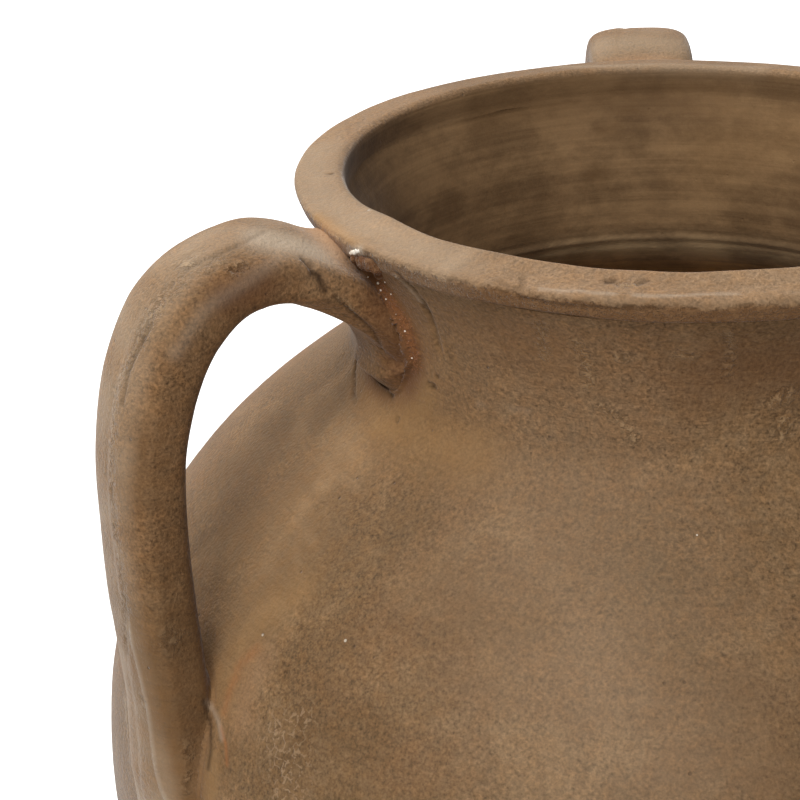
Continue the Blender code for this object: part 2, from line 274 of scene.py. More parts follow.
def clay_group():
    """Fired clay under a rubbed-on wash: patches, a woolly nap, fibres, grain, crumbs, crackle and lime, with
    painted shade in pits and between crumbs.
    """
    tree, given, result = new_tree(
        "rubbed_clay", "ShaderNodeTree",
        [("Tan", "Color"), ("Brown", "Color"), ("Olive", "Color"), ("Along", "Vector")]
        + [(label, "Float") for label in ("Olive Share", "Tan Share", "Mottle", "Fibre", "Specks", "Crumb",
                                          "Crackle")],
        [("Color", "Color"), ("Height", "Float"), ("Roughness", "Float")])
    place = object_place(tree)

    def cloud(vector, scale, detail=3.0, rough=0.55, twist=0.0):
        inputs = {"Vector": vector, "Scale": scale, "Detail": detail, "Roughness": rough, "Distortion": twist}
        return add(tree, "ShaderNodeTexNoise", inputs).outputs[0]

    def swing(value, amount):
        return times(tree, calc(tree, "SUBTRACT", value, 0.5), amount)

    broad = cloud(place, 16.0, 4.0, 0.55, 0.6)
    patch = cloud(place, 42.0, 4.0, 0.6, 0.8)
    rubbed = cloud(place, 95.0, 2.0, 0.5)
    wool = cloud(place, 980.0, 3.0, 0.6)
    warmth = cloud(place, 310.0, 2.0, 0.6)
    grain = cloud(place, 1700.0, 2.0, 0.6)
    fibre = cloud(given["Along"], 1.0, 3.0, 0.6)
    olive = times(tree, span(tree, broad, 0.40, 0.62), given["Olive Share"])
    tan = times(tree, span(tree, patch, 0.46, 0.70), given["Tan Share"])
    colour = blend(tree, tan, blend(tree, olive, given["Brown"], given["Olive"]), given["Tan"])
    colour = blend(tree, span(tree, warmth, 0.35, 0.68), colour, WARM_WASH, "MULTIPLY")
    nap = times(tree, swing(wool, 2.4), span(tree, rubbed, 0.30, 0.70, 0.7, 1.2))
    shade = times(tree, plus(tree, nap, swing(grain, 2.0)), given["Mottle"])
    shade = plus(tree, plus(tree, shade, times(tree, swing(fibre, 1.0), given["Fibre"])), 1.0)
    grey = add(tree, "ShaderNodeCombineXYZ", {0: shade, 1: shade, 2: shade}).outputs[0]
    colour = blend(tree, 1.0, colour, grey, "MULTIPLY")
    cells = add(tree, "ShaderNodeTexVoronoi", {"Vector": place, "Scale": 230.0})
    pick = add(tree, "ShaderNodeSeparateXYZ", {0: cells.outputs["Color"]}).outputs
    near = span(tree, cells.outputs["Distance"], 0.05, 0.11, 1.0, 0.0)
    pit = times(tree, near, calc(tree, "GREATER_THAN", pick[0], 0.86))
    lime = times(tree, near, calc(tree, "LESS_THAN", pick[1], given["Specks"]))
    clods = cloud(place, 720.0, 2.0, 0.7)
    clod = times(tree, span(tree, clods, 0.52, 0.57), given["Crumb"])
    chink = times(tree, span(tree, clods, 0.47, 0.42), given["Crumb"])
    bend = add(tree, "ShaderNodeTexNoise", {"Vector": place, "Scale": 420.0, "Detail": 3.0}).outputs["Color"]
    bent = add(tree, "ShaderNodeVectorMath", {0: bend, 1: CRACKLE_BEND, 2: place}, operation="MULTIPLY_ADD")
    plates = add(tree, "ShaderNodeTexVoronoi", {"Vector": bent, "Scale": 360.0}, feature="DISTANCE_TO_EDGE")
    hair = times(tree, span(tree, plates.outputs["Distance"], 0.03, 0.10, 1.0, 0.0), given["Crackle"])
    hair = times(tree, hair, span(tree, clods, 0.44, 0.54))
    for share, strength, tone in ((pit, 0.55, PIT_TONE), (lime, 0.75, LIME_TONE), (clod, 0.8, CLOD_TONE),
                                  (chink, 0.8, CHINK_TONE), (hair, 0.9, CRACKLE_TONE)):
        colour = blend(tree, times(tree, share, strength), colour, tone)
    height = plus(tree, times(tree, wool, 0.75), times(tree, grain, 0.35))
    for layer, depth in ((fibre, 0.4), (pit, -0.8), (clod, 1.8), (chink, -1.8), (hair, 0.5)):
        height = plus(tree, height, times(tree, layer, depth))
    rough = span(tree, wool, 0.3, 0.7, 0.55, 0.70)
    tree.links.new(colour, result["Color"])
    tree.links.new(height, result["Height"])
    tree.links.new(rough, result["Roughness"])
    return tree


CLAY = clay_group()


def srgb(red, green, blue):
    """A colour as it looks on screen, in the linear numbers that a shader takes."""
    parts = []
    for part in (red, green, blue):
        part /= 255.0
        parts.append(part / 12.92 if part <= 0.04045 else ((part + 0.055) / 1.055) ** 2.4)
    return (*parts, 1.0)


def marked(tree, name):
    """A number that the piece carries at each point."""
    return add(tree, "ShaderNodeAttribute", attribute_name=name).outputs["Fac"]


def tint(tree, shader, colour, share):
    """Lay another colour over what the shader has so far, by a share that changes over the surface."""
    had = shader.inputs["Base Color"].links[0].from_socket
    tree.links.new(blend(tree, share, had, colour), shader.inputs["Base Color"])


# Tints laid on by the marks. Several are painted light: the pale rubbed tint is painted sheen, the worn tint
# a painted highlight, the flank tint painted shade on the handles' near faces, the dark tint painted shade in
# cracks, pits and corners, and the umber tint is partly painted shade.
HAND_MARKS = {
    "band": srgb(118, 84, 53), "flank": srgb(84, 60, 38), "smear": srgb(156, 116, 74),
    "crease": srgb(112, 74, 46), "umber": srgb(100, 74, 48), "rubbed": srgb(174, 153, 128),
    "slip": srgb(158, 122, 80), "peach": srgb(176, 136, 102), "red": srgb(96, 58, 34),
    "orange": srgb(168, 104, 60), "worn": srgb(198, 184, 166), "dark": srgb(40, 27, 18),
    "lime": srgb(240, 234, 222),
}
CLAY_SHINE = {"Specular IOR Level": 0.06, "Sheen Weight": 0.22, "Sheen Roughness": 0.3}
BUMP_STRENGTH = 0.6
FIBRE_DRAG = (30.0, 30.0, 900.0)
INSIDE_WIPED = 0.75


def clay_material(name, tones, shares, mottle, fibre, specks, relief, wash=None):
    """One clay surface: a wash over it if there is one, then tinted by the hand's marks and by painted light
    and shade, in their order.
    """
    material = bpy.data.materials.new(name)
    material.use_nodes = True
    tree = material.node_tree
    shader = tree.nodes["Principled BSDF"]
    for socket, value in CLAY_SHINE.items():
        feed(tree, shader.inputs[socket], value)
    place = object_place(tree)
    drawn = add(tree, "ShaderNodeMapping", {"Vector": place, "Scale": FIBRE_DRAG})
    clay = add(tree, "ShaderNodeGroup", node_tree=CLAY)
    mottled = times(tree, mottle, calc(tree, "SUBTRACT", 1.0, marked(tree, "calm")))
    for socket, value in {"Tan": tones[0], "Brown": tones[1], "Olive": tones[2], "Tan Share": shares[0],
                          "Olive Share": shares[1], "Mottle": mottled, "Fibre": fibre, "Specks": specks,
                          "Along": drawn, "Crumb": marked(tree, "crumb"),
                          "Crackle": marked(tree, "cracked")}.items():
        feed(tree, clay.inputs[socket], value)
    wiped = calc(tree, "SUBTRACT", 1.0, times(tree, marked(tree, "inside"), INSIDE_WIPED))
    height = times(tree, clay.outputs["Height"], wiped)
    bump = add(tree, "ShaderNodeBump", {"Strength": BUMP_STRENGTH, "Distance": relief, "Height": height})
    tree.links.new(clay.outputs["Color"], shader.inputs["Base Color"])
    tree.links.new(clay.outputs["Roughness"], shader.inputs["Roughness"])
    feed(tree, shader.inputs["Normal"], bump)
    if wash:
        wash(tree, shader)
    for mark_name, colour in HAND_MARKS.items():
        tint(tree, shader, colour, marked(tree, mark_name))
    return material


WALL_TONES = (srgb(142, 114, 83), srgb(126, 98, 70), srgb(114, 90, 63))
base_material = clay_material(
    "base_clay", WALL_TONES, shares=(0.5, 0.6), mottle=0.30, fibre=0.15, specks=0.03, relief=0.0012)
base_outline = rounded([
    (0.0, WIRE_HOLLOW, 0.0), (FOOT_RADIUS - 0.012, WIRE_HOLLOW, 0.01), (FOOT_RADIUS - 0.008, 0.0, 0.01),
    (FOOT_RADIUS, 0.0, FOOT_ROUND), (FOOT_RADIUS + FLOOR_THICKNESS * FOOT_SPREAD, FLOOR_THICKNESS, 0.0),
    (0.0, FLOOR_THICKNESS, 0.0)], 0.003, closed=False)
base = thrown("base_disc", base_outline, False, [0.0] * len(base_outline),
              {"Turns": 220, "Unevenness": 0.0004, "Unevenness Scale": 30.0, "Ring Depth": 0.0,
               "Ring Scale": 1.0, "Seed": 4.0}, base_material)
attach(base, "root")
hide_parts("base_slab")


# The wall is one thrown wall of terracotta: belly, shoulder and neck, opened and drawn up on the wheel.
# Wet fingers left level rings inside; outside it was wiped smooth and rubbed with a thin brown wash.
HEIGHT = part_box("rim_lip")[1].z
WALL = 0.0075
LIP_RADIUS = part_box("rim_lip")[1].x
LIP_DEPTH = 0.0075
LIP_OVERHANG = 0.0045
LIP_SEAT = HEIGHT - LIP_DEPTH
INNER_RING = HEIGHT - 0.049
# each knot is a height, a radius and a slope
WALL_KNOTS = (
    (0.0, FOOT_RADIUS, FOOT_SPREAD),
    (0.163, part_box("lower_wall")[1].x, 0.0),
    (HEIGHT - 0.065, 0.1035, -1.30),
    (HEIGHT - 0.042, 0.082, 0.0),
    (LIP_SEAT, LIP_RADIUS - LIP_OVERHANG, 0.60),
)


def wall_radius(heights):
    """The wall's outer radius at each height, and its slope."""
    heights = np.asarray(heights, dtype=float)
    radius = np.zeros_like(heights)
    slope = np.zeros_like(heights)
    for (low, r0, s0), (high, r1, s1) in zip(WALL_KNOTS, WALL_KNOTS[1:]):
        length = high - low
        here = heights >= low if high == LIP_SEAT else (heights >= low) & (heights < high)
        t = (heights[here] - low) / length
        rise = t * t * (3.0 - 2.0 * t)
        radius[here] = (r0 * (1.0 - rise) + r1 * rise + length * s0 * t * (1.0 - t) ** 2
                        - length * s1 * t * t * (1.0 - t))
        slope[here] = ((r1 - r0) / length * 6.0 * t * (1.0 - t) + s0 * (1.0 - t) * (1.0 - 3.0 * t)
                       - s1 * t * (2.0 - 3.0 * t))
    return radius, slope


def inner_radius(heights):
    """The wall's inner radius at each height."""
    radius, slope = wall_radius(heights)
    return radius - WALL * np.hypot(1.0, slope)


def steps(*runs):
    """Heights up to the lip's seat from (start, end, step) runs, each run's end left for the next."""
    return np.append(np.concatenate([np.arange(low, high, step) for low, high, step in runs]), LIP_SEAT)


RING_LOW = INNER_RING - 0.004
RING_HIGH = INNER_RING + 0.004
RING_WIDTH = 0.0007
RING_RISE = 0.0003
RING_FALL = 0.0002
outside = steps((FLOOR_THICKNESS, 0.10, 0.004), (0.10, 0.20, 0.0025), (0.20, LIP_SEAT, 0.0013))
inside = steps((FLOOR_THICKNESS, 0.22, 0.007), (0.22, RING_LOW, 0.002), (RING_LOW, RING_HIGH, 0.0006),
               (RING_HIGH, LIP_SEAT, 0.0022))
ridge = RING_RISE * np.exp(-((inside - INNER_RING) / RING_WIDTH) ** 2)
ridge -= RING_FALL * np.exp(-((inside - INNER_RING - 0.002) / RING_WIDTH) ** 2)
wall_section = list(zip(wall_radius(outside)[0], outside))
wall_section += list(zip(inner_radius(inside) - ridge, inside))[::-1]
INSIDE_OCHRE = srgb(152, 121, 86)
INSIDE_UMBER = srgb(98, 75, 52)
INSIDE_DEEP = (4.0, 4.8, 5.6, 1.0)
INSIDE_SHARE = 0.85


def inner_wash(tree, shader):
    """Inside, the wash lies in wiped streaks and cloudy drips.

    Below the neck it is painted several times paler, past full reflectance in the palest red, because only
    indirect light reaches it there and it came out too dark.
    """
    place = object_place(tree)
    shares = []
    for stretch, detail in (((9.0, 9.0, 330.0), 5.0), ((38.0, 38.0, 60.0), 6.0)):
        drag = add(tree, "ShaderNodeMapping", {"Vector": place, "Scale": stretch})
        wiping = add(tree, "ShaderNodeTexNoise", {"Vector": drag, "Scale": 1.0, "Detail": detail,
                                                  "Roughness": 0.68})
        shares.append(span(tree, wiping, 0.38, 0.64))
    ochre = plus(tree, times(tree, shares[0], 0.35), times(tree, shares[1], 0.65))
    colour = blend(tree, ochre, INSIDE_UMBER, INSIDE_OCHRE)
    height = add(tree, "ShaderNodeSeparateXYZ", {0: place}).outputs[2]
    low = times(tree, span(tree, height, HEIGHT - 0.044, HEIGHT - 0.060),
                span(tree, height, HEIGHT - 0.180, HEIGHT - 0.120))
    colour = blend(tree, low, colour, INSIDE_DEEP, "MULTIPLY")
    tint(tree, shader, colour, times(tree, marked(tree, "inside"), INSIDE_SHARE))


WALL_CLAY = dict(tones=WALL_TONES, shares=(0.6, 0.75), mottle=0.70, fibre=0.35, specks=0.008, relief=0.0008)
wall_material = clay_material("wall_clay", wash=inner_wash, **WALL_CLAY)
wall = thrown("thrown_wall", wall_section, True, [0.25] * len(outside) + [1.0] * len(inside),
              {"Turns": 400, "Unevenness": 0.0012, "Unevenness Scale": 14.0, "Ring Depth": 0.0010,
               "Ring Scale": 260.0, "Seed": 7.0}, wall_material)
place = points_of(wall)
reach = np.hypot(place[:, 0], place[:, 1])
mark(wall, "inside", reach < wall_radius(place[:, 2])[0] - WALL / 2.0)
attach(wall, "root")
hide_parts("lower_wall", "shoulder_wall", "neck_collar")


# The lip is a coil of the same clay turned out over the neck and flattened with a wet rib.
# Its top is painted paler as a painted sheen; its outer edge stays rough and ochre, with a seam where it
# meets the neck.
MOUTH_RADIUS = LIP_RADIUS - 0.0134
LIP_EDGE = HEIGHT - 0.0015
LIP_TUCK = 0.005
LIP_CREST = 0.0015
LIP_CREST_WIDTH = 0.005


def ease(values, low, high):
    """A smooth step from 0 at low to 1 at high."""
    t = np.clip((np.asarray(values) - low) / (high - low), 0.0, 1.0)
    return t * t * (3.0 - 2.0 * t)


def ripple(points, scale, shift=0.0):
    """Soft noise in each point, between about -1 and 1."""
    return np.array([noise.noise(Vector(point) * scale + Vector((shift, shift, shift))) for point in points])


tuck = LIP_SEAT - LIP_TUCK
lip_outline = rounded([
    (float(inner_radius([tuck])[0]) + 0.0010, tuck, 0.0004),
    (float(inner_radius([LIP_SEAT])[0]) - 0.0001, LIP_SEAT, 0.0),
    (MOUTH_RADIUS, HEIGHT, 0.0026),
    (LIP_RADIUS, LIP_EDGE, 0.0017),
    (LIP_RADIUS - 0.0020, LIP_SEAT + 0.0010, 0.0014),
    (LIP_RADIUS - LIP_OVERHANG - 0.0005, LIP_SEAT - 0.0003, 0.0006),
    (float(inner_radius([tuck])[0]) + 0.004, tuck - 0.001, 0.0),
], 0.0007)
lip_material = clay_material(
    "lip_clay", (srgb(152, 125, 97), srgb(138, 111, 84), srgb(122, 98, 73)),
    shares=(0.6, 0.6), mottle=0.48, fibre=0.3, specks=0.02, relief=0.0008, wash=inner_wash)
lip = thrown("rim_lip_coil", lip_outline, True, [0.3] * len(lip_outline),
             {"Turns": 1000, "Unevenness": 0.0012, "Unevenness Scale": 26.0, "Ring Depth": 0.0004,
              "Ring Scale": 300.0, "Seed": 11.0}, lip_material)
place = points_of(lip)
reach = np.hypot(place[:, 0], place[:, 1])
ragged = 0.0007 * ripple(place, 160.0, 3.0) + 0.0005 * ripple(place, 420.0, 8.0)
under_edge = ease(place[:, 2] + ragged, LIP_EDGE - 0.0008, LIP_EDGE - 0.0018) * (reach > LIP_RADIUS - 0.006)
mark(lip, "band", 0.85 * under_edge)
throat = ease(place[:, 2], HEIGHT - 0.0012, HEIGHT - 0.0024)
throat *= ease(reach, MOUTH_RADIUS + 0.0016, MOUTH_RADIUS + 0.0006)
mark(lip, "inside", throat)
mark(lip, "crumb", 0.7 * under_edge)
crest = np.exp(-((reach - MOUTH_RADIUS) / LIP_CREST_WIDTH) ** 2) * ease(-place[:, 1] / reach, 0.1, 0.6)
crest *= ease(place[:, 2], LIP_SEAT, HEIGHT - 0.002) * (1.0 + 0.4 * ripple(place, 60.0, 5.0))
place[:, 2] += LIP_CREST * crest
move(lip, place)
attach(lip, "root")
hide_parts("rim_lip")


# Each handle is a strap of clay pulled with a wet hand, arched over and pressed on at both ends.
# Its outer face keeps a shallow thumb groove and a crumbly crease where the pulled skin tore.
HANDLE_WIDTH = 0.030
HANDLE_THICKNESS = 0.0174
HALF_WIDTH = HANDLE_WIDTH / 2.0
HALF_THICKNESS = HANDLE_THICKNESS / 2.0
DOME = 1.95
ROOT_DOME = 3.4
FLANK = 4.5
SQUARED = {"left": (0.062, 0.048)}
PLAIN_SQUARED = (0.11, 0.085)
ROLLS = {"left": 0.36}
EDGE_RISE = 0.0015
# the strap's changes along its length: lifts as (length, height), the others as (share, start, end)
STRAP_LIFT = ((0.020, 0.0), (0.040, -0.0014), (0.055, -0.0014), (0.075, 0.0006), (0.090, 0.0008),
              (0.110, 0.0002), (0.125, -0.0004), (0.150, -0.0006), (0.168, 0.0002), (0.185, 0.0020),
              (0.197, 0.0024), (0.210, 0.0004), (0.223, -0.0040))
STRAP_THINNING = ((0.26, 0.076, 0.048), (0.12, 0.040, 0.018), (0.10, 0.085, 0.105))
NEAR_WIDENING = ((0.09, 0.145, 0.165), (0.12, 0.165, 0.190), (0.10, 0.185, 0.205))
FAR_NARROWING = ((0.35, 0.145, 0.170),)
END_TAPER = ((0.40, 0.198, 0.223),)
HANDLE_AZIMUTHS = {"left": 207.6, "back": 90.0, "right": 328.8}
TAIL_SWINGS = {"left": math.radians(4.7)}
FINGER_GAP = 0.0235
CREST_REACH = 0.020
CREST_DROP = 0.0058
GRIP_DROP = 0.073
ROOT_DROP = 0.0365
ROOT_ANGLE = math.radians(45.0)
TAIL_DROP = 0.162
ROOT_HOLD = 0.48
CREST_HOLD = 0.32
ARCH_HOLD = 0.62
TAIL_HOLD = 0.35


def strap_knots():
    """The strap's middle line as (r, z) knots, each with the pulls before and after it."""
    def off_wall(drop, gap):
        return np.array((float(wall_radius([HEIGHT - drop])[0][0]) + gap, HEIGHT - drop))

    root = off_wall(ROOT_DROP, -HALF_THICKNESS)
    crest = np.array((LIP_RADIUS + CREST_REACH, HEIGHT - CREST_DROP))
    grip = off_wall(GRIP_DROP, FINGER_GAP + HALF_THICKNESS)
    tail = off_wall(TAIL_DROP, -HALF_THICKNESS)
    spring = np.array((math.cos(ROOT_ANGLE), math.sin(ROOT_ANGLE)))
    out = np.array((1.0, 0.0))
    down = np.array((0.0, -1.0))
    rise = np.linalg.norm(crest - root)
    drop = grip[1] - tail[1]
    return [
        (root, root, root + spring * rise * ROOT_HOLD),
        (crest, crest - out * rise * CREST_HOLD, crest + out * (grip[0] - crest[0]) * ARCH_HOLD),
        (grip, grip - down * (crest[1] - grip[1]) * ARCH_HOLD, grip + down * drop * TAIL_HOLD),
        (tail, tail - down * drop * TAIL_HOLD, tail),
    ]


def strap_line(knots, samples):
    """The middle line sampled finely: its points, tangents and running length."""
    t = np.linspace(0.0, 1.0, samples)[:, None]
    runs = []
    for (a, _, b), (d, c, _) in zip(knots, knots[1:]):
        runs.append(a * (1 - t) ** 3 + 3 * b * t * (1 - t) ** 2 + 3 * c * t * t * (1 - t) + d * t ** 3)
    line = np.concatenate([runs[0]] + [run[1:] for run in runs[1:]])
    tangent = np.gradient(line, axis=0)
    tangent /= np.linalg.norm(tangent, axis=1)[:, None]
    length = np.concatenate([[0.0], np.cumsum(np.linalg.norm(np.diff(line, axis=0), axis=1))])
    return line, tangent, length


def strap_tree():
    """A pulled strap: an oval section carried along a path, each point knowing how far along it is."""
    tree, given, result = new_tree(
        "pulled_strap", "GeometryNodeTree",
        [("Geometry", "Geometry"), ("Rings", "Int"), ("Sides", "Int"), ("Half Width", "Float"),
         ("Half Thickness", "Float"), ("Material", "Material")],
        [("Geometry", "Geometry")])
    run = add(tree, "GeometryNodeResampleCurve", {"Curve": given["Geometry"], "Count": given["Rings"]})
    factor = add(tree, "GeometryNodeSplineParameter").outputs["Factor"]
    path = add(tree, "GeometryNodeStoreNamedAttribute",
               {"Geometry": run, "Name": "along", "Value": factor}, data_type="FLOAT")
    ring = add(tree, "GeometryNodeCurvePrimitiveCircle", {"Resolution": given["Sides"], "Radius": 1.0})
    turn = times(tree, factor, 2.0 * math.pi)
    spot = add(tree, "ShaderNodeCombineXYZ", {
        0: times(tree, calc(tree, "COSINE", turn), given["Half Width"]),
        1: times(tree, calc(tree, "SINE", turn), given["Half Thickness"])})
    section = add(tree, "GeometryNodeSetPosition", {"Geometry": ring, "Position": spot})
    swept = add(tree, "GeometryNodeCurveToMesh", {"Curve": path, "Profile Curve": section, "Fill Caps": True})
    clay_skin(tree, given, result, swept)
    return tree


def stages(run, table):
    """How far a change has come along the strap, from its (share, start, end) stages."""
    return sum(share * ease(run, low, high) for share, low, high in table)


def strap_section(turn, run, squared, roll):
    """Where the strap's skin lies round its middle line: domed outside, flat-sided, thinner at the root."""
    fine = np.linspace(0.0, 2.0 * math.pi, 4001)
    share = (turn / (2.0 * math.pi)) % 1.0
    outlines = []
    for dome in (DOME, ROOT_DOME):
        wide, deep = np.cos(fine), np.sin(fine)
        power = np.where(deep > 0.0, 2.0 / dome, 2.0 / FLANK)
        wide = np.sign(wide) * np.abs(wide) ** power
        deep = np.sign(deep) * np.abs(deep) ** power
        paces = np.hypot(np.diff(wide) * HALF_WIDTH, np.diff(deep) * HALF_THICKNESS)
        walked = np.concatenate([[0.0], np.cumsum(paces)]) / paces.sum()
        outlines.append((np.interp(share, walked, wide), np.interp(share, walked, deep)))
    square = ease(run, *squared) * ease(run, 0.022, 0.034)
    wide, deep = (low + (high - low) * square for low, high in zip(*outlines))
    a = HALF_WIDTH * wide
    thin = 1.0 - stages(run, STRAP_THINNING)
    rolled = 1.0 - roll * square * ease(a, -0.002, 0.011)
    b = EDGE_RISE + deep * np.where(deep > 0.0, (HALF_THICKNESS - EDGE_RISE) * rolled,
                                    (HALF_THICKNESS + EDGE_RISE) * thin)
    corner = np.maximum(np.abs(a) - HALF_WIDTH - 1.25 * (b + EDGE_RISE), 0.0) * ease(run, 0.050, 0.030)
    a -= np.sign(a) * corner * 0.39
    b += corner * 0.49
    a *= np.where(a < 0.0, 1.0 - stages(run, FAR_NARROWING), 1.0 + stages(run, NEAR_WIDENING))
    a *= 1.0 - stages(run, END_TAPER)
    b += np.interp(run, *zip(*STRAP_LIFT))
    return a, b


def fillet(distance, radius):
    """How far a rounded inside corner stands off one face, at a distance from the other face."""
    left = np.clip(radius - distance, 0.0, radius)
    return radius - np.sqrt(np.maximum(radius ** 2 - left ** 2, 0.0))


ARC_SAMPLES = 300
KNOTS = strap_knots()
LINE, TANGENT, LENGTH = strap_line(KNOTS, ARC_SAMPLES)
CREST_RUN = LENGTH[ARC_SAMPLES - 1]
UP = np.array((0.0, 0.0, 1.0))
STRAP = strap_tree()
WALL_HOLD = 0.004
STRAP_RINGS = 480
STRAP_SIDES = 144
CREASE_WIDTH = 0.0011
CREASE_DEPTH = 0.0002
FOLD_OFFSET = 0.0022
FOLD_WIDTH = 0.0016
FOLD_HEIGHT = 0.0001
GROOVE_WIDTH = 0.006
GROOVE_DEPTH = 0.0006
HAND_WOBBLE = 0.00025
# fillets against the wall, beside, under and over the strap
UPPER_FILLETS = (0.0018, 0.0078, 0.0036)
LOWER_FILLETS = (0.0016, 0.0040, 0.0016)
BEAD_RADIUS = 0.0042
handle_material = clay_material(
    "handle_clay", (srgb(144, 112, 79), srgb(128, 97, 67), srgb(112, 86, 58)),
    shares=(0.5, 0.7), mottle=0.75, fibre=0.4, specks=0.01, relief=0.0009)
lip_shape = bmesh.new()
lip_shape.from_mesh(lip.data)
LIP_SURFACE = BVHTree.FromBMesh(lip_shape)
lip_shape.free()


def wall_gap(points):
    """How far points stand off the wall's outer face."""
    radius, slope = wall_radius(points[:, 2])
    return (np.hypot(points[:, 0], points[:, 1]) - radius) / np.hypot(1.0, slope)


def swung(side, heights):
    """How far a handle's falling strap has turned round the axis at each height."""
    share = np.clip((HEIGHT - CREST_DROP - heights) / (TAIL_DROP - CREST_DROP), 0.0, None)
    return TAIL_SWINGS.get(side, 0.0) * share ** 2


def turned_round(points, turn):
    """Points turned round the vase's axis, each by its own angle."""
    cosine, sine = np.cos(turn), np.sin(turn)
    return np.stack([points[:, 0] * cosine - points[:, 1] * sine,
                     points[:, 0] * sine + points[:, 1] * cosine, points[:, 2]], axis=1)


def pull_handle(side):
    """One handle; gives the finished piece and its surface for the luting to lie against."""
    azimuth = math.radians(HANDLE_AZIMUTHS[side])
    radial = np.array((math.cos(azimuth), math.sin(azimuth), 0.0))
    across = np.array((-math.sin(azimuth), math.cos(azimuth), 0.0))
    curve = bpy.data.curves.new("handle_line_" + side, "CURVE")
    curve.dimensions = "3D"
    spline = curve.splines.new("BEZIER")
    spline.resolution_u = 64
    spline.bezier_points.add(len(KNOTS) - 1)
    for knot, (spot, before, after) in zip(spline.bezier_points, KNOTS):
        knot.handle_left_type = knot.handle_right_type = "FREE"
        for slot, (r, z) in (("co", spot), ("handle_left", before), ("handle_right", after)):
            setattr(knot, slot, Vector(radial * r + np.array((0.0, 0.0, z))))
    strap = grown("strap_handle_" + side, put("handle_line_" + side, curve), STRAP, {
        "Rings": STRAP_RINGS, "Sides": STRAP_SIDES, "Half Width": HALF_WIDTH,
        "Half Thickness": HALF_THICKNESS, "Material": handle_material})
    place = points_of(strap)
    count = len(place)
    along = np.empty(count, dtype=np.float32)
    strap.data.attributes["along"].data.foreach_get("value", along)
    run = along.astype(float) * LENGTH[-1]
    middle = np.stack([np.interp(run, LENGTH, LINE[:, axis]) for axis in (0, 1)], axis=1)
    heading = np.stack([np.interp(run, LENGTH, TANGENT[:, axis]) for axis in (0, 1)], axis=1)
    outward = np.stack([-heading[:, 1], heading[:, 0]], axis=1)
    a = place @ across
    b = (place @ radial - middle[:, 0]) * outward[:, 0] + (place[:, 2] - middle[:, 1]) * outward[:, 1]
    turn = np.arctan2(b / HALF_THICKNESS, a / HALF_WIDTH)
    a, b = strap_section(turn, run, SQUARED.get(side, PLAIN_SQUARED), ROLLS.get(side, 0.0))
    seed = azimuth * 3.0
    ring = np.stack([run, np.zeros(count), np.zeros(count)], axis=1)
    width = 1.0 + 0.02 * ripple(ring, 22.0, seed)
    depth = 1.0 + 0.03 * ripple(ring, 28.0, seed + 5.0)
    facing_out = ease(b / HALF_THICKNESS, 0.3, 0.9)
    crease = 0.002 + 0.010 * ease(run, 0.075, 0.015) + 0.0015 * ripple(ring, 60.0, seed + 9.0)
    ragged = 0.6 + 0.6 * ripple(np.stack([run, a, b], axis=1), 260.0, seed)
    creased = ease(run, 0.035, 0.055) * facing_out
    torn = np.exp(-((a - crease) / CREASE_WIDTH) ** 2) * ragged * creased
    lifted = np.exp(-((a - crease - FOLD_OFFSET) / FOLD_WIDTH) ** 2) * creased
    groove = GROOVE_DEPTH * np.exp(-(a / GROOVE_WIDTH) ** 2) * facing_out * ease(run, 0.065, 0.085)
    a = a * width
    b = b * depth - groove - CREASE_DEPTH * torn + FOLD_HEIGHT * lifted
    angle = np.arctan2(b / HALF_THICKNESS, a / HALF_WIDTH)
    off_line = radial * outward[:, :1] + UP * outward[:, 1:]
    push = across * np.cos(angle)[:, None] + off_line * np.sin(angle)[:, None]
    spot = middle + outward * b[:, None]
    place = radial * spot[:, :1] + across * a[:, None] + UP * spot[:, 1:]
    place += push * (HAND_WOBBLE * ripple(place, 70.0, seed))[:, None]
    under = ease(-np.sin(angle), 0.45, 0.95)
    over = ease(np.sin(angle), 0.45, 0.95)
    beside = 1.0 - under - over
    upper = ease(run, 0.09, 0.06)
    corner = 0.0
    for end, radii in ((upper, UPPER_FILLETS), (1.0 - upper, LOWER_FILLETS)):
        corner = corner + end * sum(face * radius for face, radius in zip((beside, under, over), radii))
    stand = np.minimum(fillet(np.maximum(wall_gap(place), 0.0), corner), corner * (0.8 - 0.2 * beside))
    lip_gap = np.array([LIP_SURFACE.find_nearest(Vector(row))[3] for row in place])
    bead = fillet(lip_gap, BEAD_RADIUS) * over * ease(run, 0.05, 0.04)
    place += push * np.maximum(stand, bead)[:, None]
    place = turned_round(place, swung(side, middle[:, 1]) * (run > CREST_RUN))
    sunk = np.maximum(-WALL_HOLD - wall_gap(place), 0.0)
    reach = np.hypot(place[:, 0], place[:, 1])
    place[:, :2] *= (1.0 + sunk * 1.2 / reach)[:, None]
    move(strap, place)
    proud = wall_gap(place) > -0.001
    shown = [face.vertices[:] for face in strap.data.polygons if proud[list(face.vertices)].all()]
    surface = BVHTree.FromPolygons([Vector(row) for row in place], shown)
    mark(strap, "peach", 0.55 * ease(lip_gap, 0.0085, 0.002) * over)
    # painted sheen: the strap's outer face is painted paler where it faces up
    mark(strap, "rubbed", ease(b, 0.0045, 0.0085) * (0.38 + 0.25 * ripple(place, 130.0, seed)))
    # painted shade: the strap's near and under faces are painted darker, more so towards the lower end
    low_end = 0.30 + 0.22 * ease(run, 0.10, 0.15)
    mark(strap, "flank", low_end * ease(b, EDGE_RISE + 0.0055, EDGE_RISE - 0.0030) * ease(run, 0.045, 0.065))
    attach(strap, "root")
    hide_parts("handle_" + side)
    return strap, surface


handles = {side: pull_handle(side) for side in HANDLE_AZIMUTHS}


# The handles' ends are luted on with soft clay: slip in the joint, a coil smeared into the wall.
# The smear runs out thin over the shoulder, redder than the wash, with a scored line round it.
PATCH_STEP = 0.00045
PATCH_SINK = 0.0003
SMEAR_HEIGHT = 0.0003
SMEAR_FILLET = 0.0014
luting_material = clay_material("luting_clay", **WALL_CLAY)


